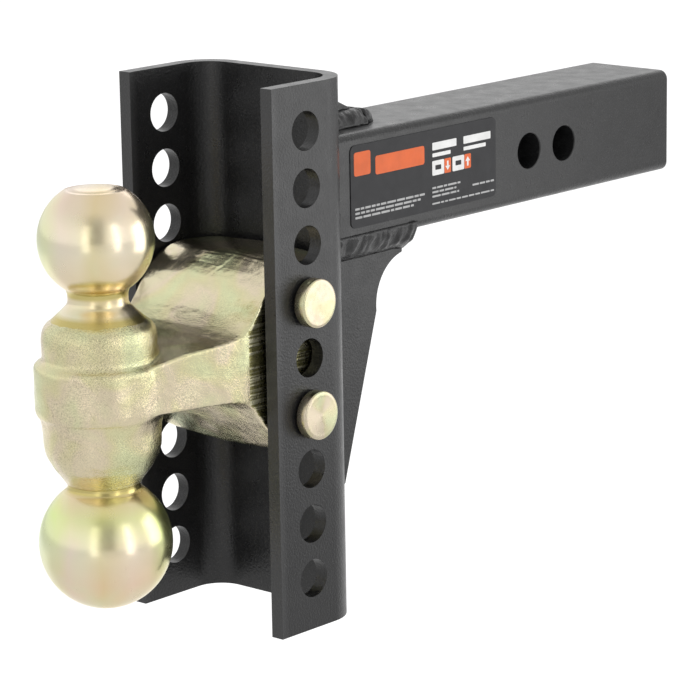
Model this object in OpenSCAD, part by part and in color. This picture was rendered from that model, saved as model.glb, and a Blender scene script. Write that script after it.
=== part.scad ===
// Adjustable channel ball mount for a 2 in trailer hitch receiver.
// Units are millimetres. +X points to the side of the pin heads, +Y towards the vehicle
// and +Z up. The origin is the centre of the rear cross hole of the shank, where the
// receiver's own hitch pin holds the whole ball mount.

/* [Shank] */
// Width and height of the square shank
shank_size = 50.8; // [31.8:0.1:63.5]
// Radius of the shank's long edges
shank_corner = 4.5; // [1:0.1:8]
// Length of shank behind the rear cross hole
shank_tail = 85.2; // [50:0.1:110]
// Diameter of the two cross holes for a 5/8 in hitch pin
hitch_hole_d = 17; // [12:0.1:20]
// Distance between the two cross holes
hitch_hole_gap = 27.1; // [24:0.1:60]

/* [Channel] */
// Outside width of the channel across both flanges
channel_width = 92.4; // [80:0.1:110]
// Depth of the channel from flange edge to the back of the web
channel_depth = 55.3; // [45:0.1:75]
// Thickness of the formed plate
wall = 6.5; // [5:0.1:10]
// Outside radius of the two bends
bend_radius = 19.6; // [10:0.1:24]
// Number of adjustment holes down each flange
hole_count = 9; // [5:1:11]
// Distance between adjustment holes
hole_pitch = 25.4; // [20:0.1:32]
// Diameter of the adjustment holes
hole_d = 17.5; // [16.5:0.1:20]
// Distance from the flange edge back to the line of holes
edge_to_holes = 21.4; // [16:0.1:30]
// Plate above the centre of the top hole
plate_above = 20.8; // [15:0.1:30]
// Plate below the centre of the bottom hole
plate_below = 23.7; // [15:0.1:30]

/* [Layout] */
// Distance from the line of holes back to the rear cross hole
reach = 209.8; // [180:0.1:260]
// Height of the shank's centre above the middle adjustment hole
rise = 65.1; // [0:0.1:76]

/* [Gussets] */
// Thickness of the two lower gusset plates
gusset_wall = 8; // [6:0.1:12]
// Outside distance across the two lower gusset plates
gusset_span = 34.8; // [26:0.1:36]
// Length of the lower gussets along the shank
gusset_run = 63.5; // [50:0.1:90]
// Height of the lower gussets below the shank
gusset_drop = 114.5; // [80:0.1:160]
// Depth of the lower gussets at their bottom end
gusset_foot = 21; // [8:0.1:30]
// Radius of the concave corner in the rear edge
gusset_hollow = 22.8; // [10:0.1:30]
// Thickness of the plate on top of the shank
top_gusset_wall = 10; // [6:0.1:14]
// Length of the top gusset along the shank
top_gusset_run = 48; // [30:0.1:70]
// Height of the top gusset up the web
top_gusset_rise = 25; // [15:0.1:31]

/* [Ball head] */
// Diameter of the upper ball, a 2 in coupler ball
upper_ball_d = 50.8; // [47.6:0.1:60]
// Diameter of the lower ball, a 2 5/16 in coupler ball
lower_ball_d = 58.7; // [47.6:0.1:60]
// Height of the upper ball's centre above the middle of the block
upper_ball_z = 61.4; // [50:0.1:75]
// Depth of the lower ball's centre below the middle of the block
lower_ball_z = 73.4; // [60:0.1:90]
// Distance from the line of holes forward to the axis of both balls
ball_forward = 84; // [70:0.1:110]
// Diameter of the neck under the upper ball
upper_neck_d = 26.4; // [20:0.1:32]
// Diameter of the neck above the lower ball
lower_neck_d = 31.8; // [24:0.1:38]
// Diameter of the flat on the crown of the upper ball
crown_flat_d = 22.6; // [8:0.1:26]
// Diameter of the small flat under the lower ball
base_flat_d = 8; // [4:0.1:20]
// Width of the block that fits between the flanges
block_width = 75.4; // [70:0.1:90]
// Height of the block at its flat sides
block_height = 84; // [70:0.1:95]
// Extra height of the block at its middle, above and below
block_crown = 2.5; // [0.5:0.1:4]
// Distance from the line of holes to the back of the block
block_back = 21; // [14:0.1:25]
// Size of the cut on the block's two upright back corners
block_corner = 5; // [3:0.1:8]
// Diameter of the two cross bores in the block
block_bore_d = 17.5; // [16.5:0.1:20]

/* [Pins and clips] */
// Diameter of the two locking pins
pin_d = 15.9; // [12:0.1:16.2]
// Diameter of the pin heads
pin_head_d = 22; // [19:0.1:26]
// Thickness of the pin heads
pin_head_t = 5.5; // [3:0.1:8]
// Gap left between a pin head and the flange
pin_head_gap = 1.2; // [0.3:0.1:3]
// Length of pin beyond the clip hole
pin_tail = 8; // [5:0.1:12]
// Diameter of the clip hole through the pin
clip_hole_d = 4.2; // [3.6:0.1:6]
// Diameter of the spring wire
wire_d = 3.4; // [2:0.1:4]
// Gap left between the wire and the flange
clip_gap = 1.1; // [0.3:0.1:3]
// Length of the straight leg from the pin's centre to its tip
clip_tip = 17; // [12:0.1:24]
// Distance from the pin's centre to the centre of the loop
clip_loop_out = 27; // [20:0.1:30]

/* [Label] */
// Length of the label along the shank
label_length = 104.4; // [60:0.1:120]
// Height of the label
label_height = 38.2; // [20:0.1:40]
// Thickness of the label film
label_t = 0.4; // [0.2:0.1:1]
// Distance from the line of holes back to the front edge of the label
label_start = 52.2; // [45:0.1:60]

/* [Hidden] */
$fn = 96;
eps = 0.01;
half_shank = shank_size / 2;
half_width = channel_width / 2;
inner_radius = bend_radius - wall;
web_back = channel_depth - edge_to_holes;
top_z = (hole_count - 1) / 2 * hole_pitch + plate_above;
bottom_z = -(hole_count - 1) / 2 * hole_pitch - plate_below;
shank_top = rise + half_shank;
shank_bottom = rise - half_shank;
gusset_outer = gusset_span / 2;
gusset_end = web_back + gusset_run;
gusset_low = shank_bottom - gusset_drop;
hollow_y = gusset_end + 4.1;
hollow_z = shank_bottom - 33.7;
bead = 8;
pin_z = hole_pitch;
clip_x = -(half_width + clip_gap + wire_d / 2);
pin_head_in = half_width + pin_head_gap;
leg_lift = pin_d / 2 + wire_d / 2 + 0.35;
label_corner = 3;

// Everything but the shank is laid out from the middle adjustment hole.
module from_middle_hole() {
  translate([0, -reach, -rise]) children();
}

// Extrude a profile drawn as (Y, Z) along X between two planes.
module across(x0, x1) {
  translate([x0, 0, 0])
    rotate([90, 0, 90])
      linear_extrude(height = x1 - x0) children();
}

// Extrude a profile drawn as (X, Z) along Y between two planes.
module along(y0, y1) {
  translate([0, y1, 0])
    rotate([90, 0, 0])
      linear_extrude(height = y1 - y0) children();
}

// A cylinder along X between two planes.
module bore(d, x0, x1, y, z) {
  translate([x0, y, z])
    rotate([0, 90, 0])
      cylinder(d = d, h = x1 - x0);
}

// A square with four round corners.
module round_square(size, r) {
  square([size[0], size[1] - 2 * r], center = true);
  square([size[0] - 2 * r, size[1]], center = true);
  for (sx = [-1, 1], sy = [-1, 1])
    translate([sx * (size[0] / 2 - r), sy * (size[1] / 2 - r)]) circle(r = r);
}

// One bent corner of the channel in plan, outside on the +X side.
module bend() {
  intersection() {
    difference() {
      circle(r = bend_radius);
      circle(r = inner_radius);
    }
    square(bend_radius + 1);
  }
}

module channel_plan() {
  for (side = [0, 1])
    mirror([side, 0]) {
      translate([half_width - wall, -edge_to_holes])
        square([wall, channel_depth - bend_radius]);
      translate([half_width - bend_radius, web_back - bend_radius]) bend();
    }
  translate([-half_width + bend_radius, web_back - wall])
    square([channel_width - 2 * bend_radius, wall]);
}

module channel() {
  color("dimgray")
    from_middle_hole()
      difference() {
        translate([0, 0, bottom_z])
          linear_extrude(height = top_z - bottom_z) channel_plan();
        for (i = [0 : hole_count - 1]) {
          z = (i - (hole_count - 1) / 2) * hole_pitch;
          bore(hole_d, -half_width - 1, -half_width + wall + 1, 0, z);
          bore(hole_d, half_width - wall - 1, half_width + 1, 0, z);
        }
      }
}

module shank_bar(grow = 0) {
  along(-(reach - web_back), shank_tail + grow)
    round_square([shank_size, shank_size], shank_corner);
}

module shank() {
  color("dimgray")
    difference() {
      shank_bar();
      for (y = [0, -hitch_hole_gap])
        bore(hitch_hole_d, -half_shank - 1, half_shank + 1, y, 0);
    }
}

// Side view of a lower gusset: straight edges with one concave corner.
module gusset_profile() {
  difference() {
    polygon([
      [web_back, shank_bottom],
      [gusset_end, shank_bottom],
      [gusset_end, hollow_z + gusset_hollow - 0.8],
      [hollow_y - 1, hollow_z],
      [hollow_y - gusset_hollow + 0.4, hollow_z],
      [web_back + gusset_foot, gusset_low],
      [web_back, gusset_low]
    ]);
    translate([hollow_y, hollow_z]) circle(r = gusset_hollow);
  }
}

module gusset(side) {
  inner = gusset_outer - gusset_wall;
  color("dimgray")
    from_middle_hole()
      across(side > 0 ? inner : -gusset_outer, side > 0 ? gusset_outer : -inner)
        gusset_profile();
}

module top_gusset() {
  color("dimgray")
    from_middle_hole()
      across(-top_gusset_wall / 2, top_gusset_wall / 2)
        polygon([
          [web_back, shank_top],
          [web_back + top_gusset_run, shank_top],
          [web_back + top_gusset_run, shank_top + 5],
          [web_back + 5, shank_top + top_gusset_rise],
          [web_back, shank_top + top_gusset_rise]
        ]);
}

// A slightly crowned fillet bead in the corner at the origin, legs along +X and +Y.
module bead_profile(a, b) {
  polygon([[0, 0], [a, 0], [a * 0.62, b * 0.56], [a * 0.5, b * 0.66], [0, b]]);
}

// Beads that join the end of the shank to the back of the web.
module shank_welds() {
  inset = half_shank - shank_corner;
  color("gray")
    from_middle_hole() {
      for (side = [0, 1])
        mirror([side, 0, 0]) {
          translate([half_shank, web_back, rise - inset])
            linear_extrude(height = 2 * inset) bead_profile(bead, bead);
          translate([top_gusset_wall / 2 + bead, web_back, shank_top])
            rotate([90, 0, 90])
              linear_extrude(height = inset - top_gusset_wall / 2 - bead)
                bead_profile(bead, bead);
        }
    }
}

// Bead between a lower gusset and the underside of the shank, wrapped round the tip.
module gusset_shank_weld(side) {
  low = shank_bottom - 9.2;
  color("gray")
    from_middle_hole()
      mirror([side > 0 ? 0 : 1, 0, 0])
        difference() {
          union() {
            along(web_back + bead, gusset_end)
              polygon([
                [gusset_outer, low],
                [gusset_outer + 2.6, low + 1.2],
                [half_shank - 0.6, shank_bottom - 1],
                [half_shank + 0.5, shank_bottom + 2.5],
                [half_shank + 0.3, shank_bottom + 4.4],
                [gusset_outer, shank_bottom + 4.4]
              ]);
            across(gusset_outer - gusset_wall, gusset_outer + 3)
              polygon([
                [gusset_end, low + 0.5],
                [gusset_end + 2, low + 1.5],
                [gusset_end + 6.5, shank_bottom - 3],
                [gusset_end + 9, shank_bottom],
                [gusset_end, shank_bottom]
              ]);
          }
          translate([0, reach, rise]) shank_bar(1);
        }
}

// Bead between the outside of a lower gusset and the back of the web.
module gusset_web_weld(side) {
  color("gray")
    from_middle_hole()
      mirror([side > 0 ? 0 : 1, 0, 0])
        translate([gusset_outer, web_back, gusset_low + 4])
          linear_extrude(height = shank_bottom - gusset_low - 14)
            bead_profile(bead - 1, bead - 1);
}

// Beads on both sides of the top gusset, wrapped round its rear end.
module top_gusset_weld() {
  end = web_back + top_gusset_run;
  color("gray")
    from_middle_hole() {
      for (side = [0, 1])
        mirror([side, 0, 0])
          translate([top_gusset_wall / 2, end, shank_top])
            rotate([90, 0, 0])
              linear_extrude(height = top_gusset_run) bead_profile(bead, bead);
      translate([-top_gusset_wall / 2, end, shank_top])
        rotate([90, 0, 90])
          linear_extrude(height = top_gusset_wall) bead_profile(bead, bead - 1);
      for (side = [0, 1])
        mirror([side, 0, 0])
          translate([top_gusset_wall / 2, end, shank_top])
            intersection() {
              cylinder(r1 = bead, r2 = 1, h = bead - 1);
              cube(bead + 1);
            }
    }
}

// A ball cut flat where it meets the plane z = flat (kept below it when up is true).
module cut_ball(d, flat_d, up) {
  h = sqrt(d * d - flat_d * flat_d) / 2;
  intersection() {
    sphere(d = d);
    translate([-d, -d, up ? -d : -h]) cube([2 * d, 2 * d, d + h]);
  }
}

// The turned and forged post between the two balls, from top to bottom.
module post() {
  collar_r = 25;
  band_r = 29.2;
  translate([0, 0, 31]) cylinder(d = upper_neck_d, h = upper_ball_z - 31);
  translate([0, 0, 24.5]) cylinder(r1 = 22.8, r2 = 14.4, h = 8);
  translate([0, 0, 21.5]) cylinder(r1 = collar_r, r2 = 22.8, h = 3);
  translate([0, 0, 13]) cylinder(r = collar_r, h = 8.5);
  translate([0, 0, 7]) cylinder(r1 = band_r, r2 = collar_r, h = 6);
  translate([0, 0, -15]) cylinder(r = band_r, h = 22);
  translate([0, 0, -19]) cylinder(r1 = 26.2, r2 = band_r, h = 4);
  translate([0, 0, -31]) cylinder(r1 = 25, r2 = 26.2, h = 12);
  translate([0, 0, -38]) cylinder(r1 = 21.7, r2 = 25, h = 7);
  translate([0, 0, -46]) cylinder(d1 = lower_neck_d + 1, d2 = 43.4, h = 8);
  translate([0, 0, -lower_ball_z]) cylinder(d = lower_neck_d, h = lower_ball_z - 45);
}

// Side view of the block: square behind, with a blunt nose towards the balls.
module block_side() {
  h = block_height / 2 + block_crown;
  polygon([
    [block_back, -h], [block_back, h],
    [5, h], [-5.5, 39.2], [-16, 31.2], [-22.6, 23.2], [-27.6, 18.3], [-30.5, 14],
    [-30.5, -14], [-27.5, -19.5], [-21, -28], [-4.5, -h]
  ]);
}

// Section of the block: flat sides, crowned above and below.
module block_section() {
  w = block_width / 2;
  r = (w * w + block_crown * block_crown) / (2 * block_crown);
  middle = block_height / 2 + block_crown - r;
  intersection() {
    square([block_width, block_height + 2 * block_crown], center = true);
    translate([0, middle]) circle(r = r, $fn = 720);
    translate([0, -middle]) circle(r = r, $fn = 720);
  }
}

// Plan view of the block, its back corners cut to clear the channel's bends.
module block_plan() {
  w = block_width / 2;
  polygon([
    [-w, -32], [w, -32], [w, block_back - block_corner], [w - block_corner, block_back],
    [-w + block_corner, block_back], [-w, block_back - block_corner]
  ]);
}

// Side view of the arm that joins the post to the block.
module arm_side() {
  polygon([
    [-ball_forward, -17], [-ball_forward, 12.6], [-62, 13.6], [-42, 14.6], [-31, 17],
    [-22, 22], [-10, 22], [-10, -26], [-22, -26], [-31, -20], [-42, -18]
  ]);
}

// Plan view of the arm, widening from the post to the block.
module arm_plan() {
  w = block_width / 2;
  polygon([
    [-w, -10], [-w, -31], [-36.3, -42], [-27.6, -ball_forward],
    [27.6, -ball_forward], [36.3, -42], [w, -31], [w, -10]
  ]);
}

// Section of the arm: a deep flat band each side with chamfers above and below.
module arm_section() {
  w = block_width / 2;
  polygon([
    [-w, -14], [-w, 12], [-20, 24], [20, 24], [w, 12],
    [w, -14], [20, -28], [-20, -28]
  ]);
}

module ball_head() {
  w = block_width / 2;
  color("khaki")
    from_middle_hole()
      difference() {
        union() {
          translate([0, -ball_forward, upper_ball_z]) cut_ball(upper_ball_d, crown_flat_d, true);
          translate([0, -ball_forward, -lower_ball_z]) cut_ball(lower_ball_d, base_flat_d, false);
          translate([0, -ball_forward, 0]) post();
          intersection() {
            across(-w - 1, w + 1) block_side();
            along(-32, block_back + 1) block_section();
            translate([0, 0, -block_height])
              linear_extrude(height = 2 * block_height) block_plan();
          }
          intersection() {
            across(-w, w) arm_side();
            translate([0, 0, -block_height / 2])
              linear_extrude(height = block_height) arm_plan();
            along(-ball_forward, -10) arm_section();
          }
        }
        for (s = [-1, 1]) bore(block_bore_d, -w - 1, w + 1, 0, s * pin_z);
      }
}

// A locking pin with a plain disc head, its tip bevelled and cross-drilled for a clip.
module locking_pin(z) {
  tip = clip_x - pin_tail;
  color("khaki")
    from_middle_hole()
      translate([0, 0, z])
        difference() {
          union() {
            bore(pin_d, tip + 1.5, pin_head_in + 1, 0, 0);
            translate([tip, 0, 0])
              rotate([0, 90, 0])
                cylinder(d1 = pin_d - 3, d2 = pin_d, h = 1.5);
            bore(pin_head_d, pin_head_in, pin_head_in + pin_head_t - 0.6, 0, 0);
            translate([pin_head_in + pin_head_t - 0.6, 0, 0])
              rotate([0, 90, 0])
                cylinder(d1 = pin_head_d, d2 = pin_head_d - 1.2, h = 0.6);
          }
          translate([clip_x, pin_d, 0])
            rotate([90, 0, 0])
              cylinder(d = clip_hole_d, h = 2 * pin_d);
        }
}

module wire(y0, y1, z) {
  translate([0, y1, z])
    rotate([90, 0, 0])
      cylinder(d = wire_d, h = y1 - y0);
}

// Part of a wire ring in the YZ plane, from angle a, turning through sweep.
module wire_arc(r, a, sweep) {
  rotate([90, 0, 90])
    rotate([0, 0, a])
      rotate_extrude(angle = sweep)
        translate([r, 0]) circle(d = wire_d);
}

// A hairpin clip: straight leg through the pin, a loop, and the spring leg over the pin.
module hairpin_clip(z) {
  loop_r = leg_lift / 2;
  color("silver")
    from_middle_hole()
      translate([clip_x, 0, z]) {
        wire(-clip_loop_out, clip_tip, 0);
        translate([0, -clip_loop_out, loop_r]) wire_arc(loop_r, 90, 180);
        wire(-clip_loop_out, 8, 2 * loop_r);
        translate([0, 8, 2 * loop_r + 6]) wire_arc(6, 270, 55);
      }
}

module label() {
  color([0.25, 0.25, 0.26])
    translate([half_shank, label_start + label_length / 2 - reach, 66.2 - rise])
      rotate([90, 0, 90])
        linear_extrude(height = label_t)
          round_square([label_length, label_height], label_corner);
}

channel();
shank();
gusset(1);  // right_gusset
gusset(-1);  // left_gusset
top_gusset();
shank_welds();
gusset_shank_weld(1);  // right_gusset_weld
gusset_shank_weld(-1);  // left_gusset_weld
gusset_web_weld(1);  // right_web_weld
gusset_web_weld(-1);  // left_web_weld
top_gusset_weld();
ball_head();
locking_pin(pin_z);  // upper_pin
locking_pin(-pin_z);  // lower_pin
hairpin_clip(pin_z);  // upper_clip
hairpin_clip(-pin_z);  // lower_clip
label();
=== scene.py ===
"""Adjustable channel ball mount with two balls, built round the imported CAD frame.

Shapes are drawn in millimetres in the layout frame of the part: X towards the pin heads,
Y towards the vehicle with 0 at the line of adjustment holes, Z up with 0 at the middle hole.
at() turns a layout point into the CAD frame in metres.
"""

import math
import random

import bmesh
import bpy
from mathutils import Matrix, Vector, noise


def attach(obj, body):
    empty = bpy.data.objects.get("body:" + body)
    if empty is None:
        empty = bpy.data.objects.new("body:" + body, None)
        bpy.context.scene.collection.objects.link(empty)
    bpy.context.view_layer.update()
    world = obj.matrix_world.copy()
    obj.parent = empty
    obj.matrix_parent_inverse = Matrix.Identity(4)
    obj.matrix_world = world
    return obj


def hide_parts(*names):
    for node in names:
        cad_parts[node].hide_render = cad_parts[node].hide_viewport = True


MM = 0.001
REACH, RISE = 209.8, 65.1          # rear cross hole behind and above the middle hole
TAU = 2 * math.pi

# Channel
HALF_WIDTH, WALL = 46.2, 6.5
BEND_OUT, BEND_IN = 19.6, 13.1
FLANGE_FRONT, WEB_BACK = -21.4, 33.9
CHANNEL_LOW, CHANNEL_TOP = -125.3, 122.4
PITCH, HOLE_R, HOLE_COUNT = 25.4, 8.75, 9

# Shank and gussets
HALF_SHANK, SHANK_CORNER, SHANK_END = 25.4, 4.5, 295.0
CROSS_HOLES, CROSS_HOLE_R = (209.8, 182.7), 8.5
SHANK_TOP, SHANK_LOW = RISE + HALF_SHANK, RISE - HALF_SHANK
GUSSET_IN, GUSSET_OUT = 9.4, 17.4
GUSSET_END, GUSSET_LOW, GUSSET_FOOT = 97.4, -74.8, 21.0
HOLLOW_Y, HOLLOW_Z, HOLLOW_R = 101.5, 6.0, 22.8
TOP_GUSSET_HALF, TOP_GUSSET_END = 5.0, 81.9

# Ball head
BALL_Y = -84.0
UPPER_R, UPPER_Z, CROWN_R, UPPER_NECK_R = 25.4, 61.4, 11.3, 13.2
LOWER_R, LOWER_Z, BASE_R, LOWER_NECK_R = 29.33, -73.4, 4.0, 15.9
BLOCK_HALF = 37.7
BORE_R, BORE_Z = 8.75, 25.4
TURNED_LOW_TOP = -45.6

# Pins, clips and label
PIN_R, HEAD_R, HEAD_IN, HEAD_OUT = 7.95, 11.0, 47.4, 52.9
PIN_TIP, CLIP_X, CLIP_HOLE_R = -57.0, -49.0, 2.1
WIRE_R, LEG_LIFT, CLIP_TIP, LOOP_OUT = 1.7, 10.0, 17.0, 27.0
LABEL_X, LABEL_T, LABEL_CORNER = 25.4, 0.4, 3.0
LABEL_Y, LABEL_Z = (52.2, 156.6), (47.1, 85.3)

# Camera, in the CAD frame
EYE = (1.026348, -1.287081, 0.279056)
TO_EYE = Vector((0.63945308, -0.73314109, 0.23152517))
EYE_RIGHT = Vector((0.75573847, 0.65472259, -0.01406005))
EYE_UP = Vector((-0.14127676, 0.18396322, 0.97272731))
LENS, SHIFT_X, SHIFT_Y = 173.97, -0.0413, 0.0174

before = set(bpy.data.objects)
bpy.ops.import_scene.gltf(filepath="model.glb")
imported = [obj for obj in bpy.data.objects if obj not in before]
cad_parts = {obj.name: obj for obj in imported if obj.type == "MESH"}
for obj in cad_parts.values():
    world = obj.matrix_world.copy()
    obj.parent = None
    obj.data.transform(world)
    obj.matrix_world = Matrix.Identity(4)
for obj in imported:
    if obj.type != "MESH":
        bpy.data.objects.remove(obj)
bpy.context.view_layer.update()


def at(x, y, z):
    return Vector((x, y - REACH, z - RISE)) * MM


# ---------------------------------------------------------------- mesh helpers

def new_object(name, verts, faces):
    """A mesh object from layout points, with its normals outward."""
    mesh = bpy.data.meshes.new(name)
    mesh.from_pydata([at(*v) for v in verts], [], faces)
    bm = bmesh.new()
    bm.from_mesh(mesh)
    bmesh.ops.recalc_face_normals(bm, faces=bm.faces)
    bm.to_mesh(mesh)
    bm.free()
    obj = bpy.data.objects.new(name, mesh)
    bpy.context.scene.collection.objects.link(obj)
    return obj


def shade(obj, angle=32):
    """Smooth shading, sharp only across edges steeper than angle."""
    mesh = obj.data
    mesh.polygons.foreach_set("use_smooth", [True] * len(mesh.polygons))
    if angle < 180:
        mesh.set_sharp_from_angle(angle=math.radians(angle))
    mesh.update()
    return obj


def applied(obj):
    """Applies every modifier on obj."""
    bpy.context.view_layer.update()
    evaluated = obj.evaluated_get(bpy.context.evaluated_depsgraph_get())
    mesh = bpy.data.meshes.new_from_object(evaluated)
    obj.modifiers.clear()
    obj.data = mesh
    return obj


def cut(obj, *cutters):
    for cutter in cutters:
        mod = obj.modifiers.new("cut", "BOOLEAN")
        mod.operation, mod.solver, mod.object = "DIFFERENCE", "EXACT", cutter
    applied(obj)
    for cutter in cutters:
        bpy.data.objects.remove(cutter)
    return obj


def bevelled(obj, width, segments=3, angle=28):
    """Rounds every edge steeper than angle and keeps the flats flat."""
    mod = obj.modifiers.new("bevel", "BEVEL")
    mod.width, mod.segments, mod.limit_method = width * MM, segments, "ANGLE"
    mod.angle_limit, mod.use_clamp_overlap = math.radians(angle), True
    mod.miter_outer = "MITER_ARC"
    applied(obj)
    shade(obj, 180)
    flat = obj.modifiers.new("flat", "WEIGHTED_NORMAL")
    flat.keep_sharp, flat.weight = False, 80
    return applied(obj)


def extruded(name, profile, place, lo, hi):
    """A prism: profile's (u, v) points at lo and hi, each placed by place(u, v, w)."""
    n = len(profile)
    verts = [place(u, v, w) for w in (lo, hi) for u, v in profile]
    sides = [(i, (i + 1) % n, n + (i + 1) % n, n + i) for i in range(n)]
    return new_object(name, verts, sides + [tuple(range(n)), tuple(range(n, 2 * n))])


def along_x(u, v, w):
    return (w, u, v)


def along_y(u, v, w):
    return (u, w, v)


def along_z(u, v, w):
    return (u, v, w)


def revolved(name, profile, place, count=96):
    """Turns profile's (radius, height) points round an axis; radius 0 ends are closed."""
    verts, rings = [], []
    for r, h in profile:
        if r < 1e-6:
            rings.append([len(verts)])
            verts.append(place(0.0, 0.0, h))
        else:
            rings.append(list(range(len(verts), len(verts) + count)))
            verts += [place(r * math.cos(TAU * i / count), r * math.sin(TAU * i / count), h)
                      for i in range(count)]
    faces = []
    for a, b in zip(rings, rings[1:]):
        for i in range(count):
            j = (i + 1) % count
            if len(a) == 1:
                faces.append((a[0], b[i], b[j]))
            elif len(b) == 1:
                faces.append((a[i], a[j], b[0]))
            else:
                faces.append((a[i], a[j], b[j], b[i]))
    return new_object(name, verts, faces)


def on_ball_axis(u, v, h):
    return (u, BALL_Y + v, h)


def rod(place, radius, lo, hi, count=64):
    """A plain cutter cylinder."""
    return revolved("cutter", [(0, lo), (radius, lo), (radius, hi), (0, hi)], place, count)


def rod_x(y, z, radius, lo, hi):
    return rod(lambda u, v, h: (h, y + u, z + v), radius, lo, hi)


def arc(cx, cy, r, start, end, steps):
    """Points on a circle from start to end, in degrees."""
    angles = [math.radians(start + (end - start) * i / steps) for i in range(steps + 1)]
    return [(cx + r * math.cos(a), cy + r * math.sin(a)) for a in angles]


def round_rect(x0, x1, y0, y1, r, steps=8):
    corners = ((x1 - r, y1 - r, 0), (x0 + r, y1 - r, 90), (x0 + r, y0 + r, 180), (x1 - r, y0 + r, 270))
    return [p for cx, cy, a in corners for p in arc(cx, cy, r, a, a + 90, steps)]


def tube(name, points, radius, sides=20):
    """A round wire along a path of layout points, with domed ends."""
    path = [Vector(p) for p in points]
    tangents = [(path[min(i + 1, len(path) - 1)] - path[max(i - 1, 0)]).normalized()
                for i in range(len(path))]
    side = Vector((1, 0, 0))
    verts, rings = [], []

    def ring(centre, tangent, r):
        other = tangent.cross(side).normalized()
        rings.append(list(range(len(verts), len(verts) + sides)))
        verts.extend(centre + r * (math.cos(TAU * k / sides) * side + math.sin(TAU * k / sides) * other)
                     for k in range(sides))

    for k in (0.15, 0.5, 0.85):
        ring(path[0] + tangents[0] * radius * 0.4 * k, tangents[0], radius * math.sin(k * math.pi / 2))
    for p, t in list(zip(path, tangents))[1:-1]:
        ring(p, t, radius)
    for k in (0.85, 0.5, 0.15):
        ring(path[-1] - tangents[-1] * radius * 0.4 * k, tangents[-1], radius * math.sin(k * math.pi / 2))
    faces = [(a[i], a[(i + 1) % sides], b[(i + 1) % sides], b[i])
             for a, b in zip(rings, rings[1:]) for i in range(sides)]
    faces += [tuple(rings[0]), tuple(rings[-1])]
    return shade(new_object(name, verts, faces), 50)


def finished(obj, material, body, slot, *nodes):
    """Gives a piece its material and body and hides the CAD nodes it stands for; slot is not used."""
    obj.data.materials.clear()
    obj.data.materials.append(material)
    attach(obj, body)
    if nodes:
        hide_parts(*nodes)
    return obj


# ---------------------------------------------------------------- material helpers

class Paint:
    """A Principled material and the few nodes the scene's materials are made of."""

    def __init__(self, name, **values):
        self.material = bpy.data.materials.new(name)
        self.material.use_nodes = True
        self.tree = self.material.node_tree
        self.shader = self.tree.nodes["Principled BSDF"]
        self.place = self.node("ShaderNodeTexCoord").outputs["Object"]
        for key, value in values.items():
            self.shader.inputs[key.replace("_", " ")].default_value = value

    def node(self, kind, **settings):
        made = self.tree.nodes.new(kind)
        for key, value in settings.items():
            setattr(made, key, value)
        return made

    def feed(self, made, **inputs):
        for key, value in inputs.items():
            socket = made.inputs[int(key[1:])] if key[0] == "i" and key[1:].isdigit() else made.inputs[key]
            if isinstance(value, bpy.types.NodeSocket):
                self.tree.links.new(value, socket)
            else:
                socket.default_value = value
        return made

    def stretched(self, scale, turn=(0, 0, 0)):
        mapping = self.feed(self.node("ShaderNodeMapping"), Vector=self.place, Scale=scale, Rotation=turn)
        return mapping.outputs["Vector"]

    def noise(self, size, detail=2.0, rough=0.5, vector=None, warp=0.0):
        """Noise whose grains are about size millimetres."""
        made = self.feed(self.node("ShaderNodeTexNoise"), Vector=vector or self.place,
                         Scale=1 / (size * MM), Detail=detail, Roughness=rough, Distortion=warp)
        return made.outputs["Fac"]

    def cells(self, size, vector=None):
        made = self.feed(self.node("ShaderNodeTexVoronoi"), Vector=vector or self.place,
                         Scale=1 / (size * MM))
        return made.outputs["Distance"]

    def ramp(self, fac, *stops):
        """Stops are (position, value or colour)."""
        made = self.node("ShaderNodeValToRGB")
        elements = made.color_ramp.elements
        while len(elements) < len(stops):
            elements.new(0.5)
        for element, (position, value) in zip(elements, stops):
            element.position = position
            element.color = (value, value, value, 1) if isinstance(value, (int, float)) else (*value, 1)
        self.tree.links.new(fac, made.inputs["Fac"])
        return made.outputs["Color"]

    def mix(self, fac, a, b, blend="MIX"):
        made = self.node("ShaderNodeMix", data_type="RGBA", blend_type=blend)
        pairs = ((0, fac), (6, a), (7, b))
        for index, value in pairs:
            if isinstance(value, bpy.types.NodeSocket):
                self.tree.links.new(value, made.inputs[index])
            elif index:
                made.inputs[index].default_value = (*value, 1)
            else:
                made.inputs[index].default_value = value
        return made.outputs[2]

    def maths(self, operation, a, b=0.0, clamp=False):
        made = self.node("ShaderNodeMath", operation=operation, use_clamp=clamp)
        return self.feed(made, i0=a, i1=b).outputs["Value"]

    def axis(self, name):
        """X, Y or Z of the surface point in metres."""
        parts = self.feed(self.node("ShaderNodeSeparateXYZ"), Vector=self.place)
        return parts.outputs[name]

    def near_heights(self, *bands):
        """1 near each layout height, given with its half band in millimetres, and 0 away from them."""
        total = 0.0
        for height, half in bands:
            off = self.maths("ABSOLUTE", self.maths("SUBTRACT", self.axis("Z"), (height - RISE) * MM))
            near = self.ramp(self.maths("DIVIDE", off, half * MM), (0.35, 1.0), (1.0, 0.0))
            total = self.maths("ADD", total, near, clamp=True)
        return total

    def bump(self, height, strength, depth, below=None):
        """Bump with depth in millimetres, on top of another bump's normal."""
        made = self.feed(self.node("ShaderNodeBump"), Height=height, Strength=strength,
                         Distance=depth * MM)
        if below is not None:
            self.tree.links.new(below, made.inputs["Normal"])
        return made.outputs["Normal"]

    def set(self, **inputs):
        self.feed(self.shader, **{k.replace("_", " "): v for k, v in inputs.items()})
        return self


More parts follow.
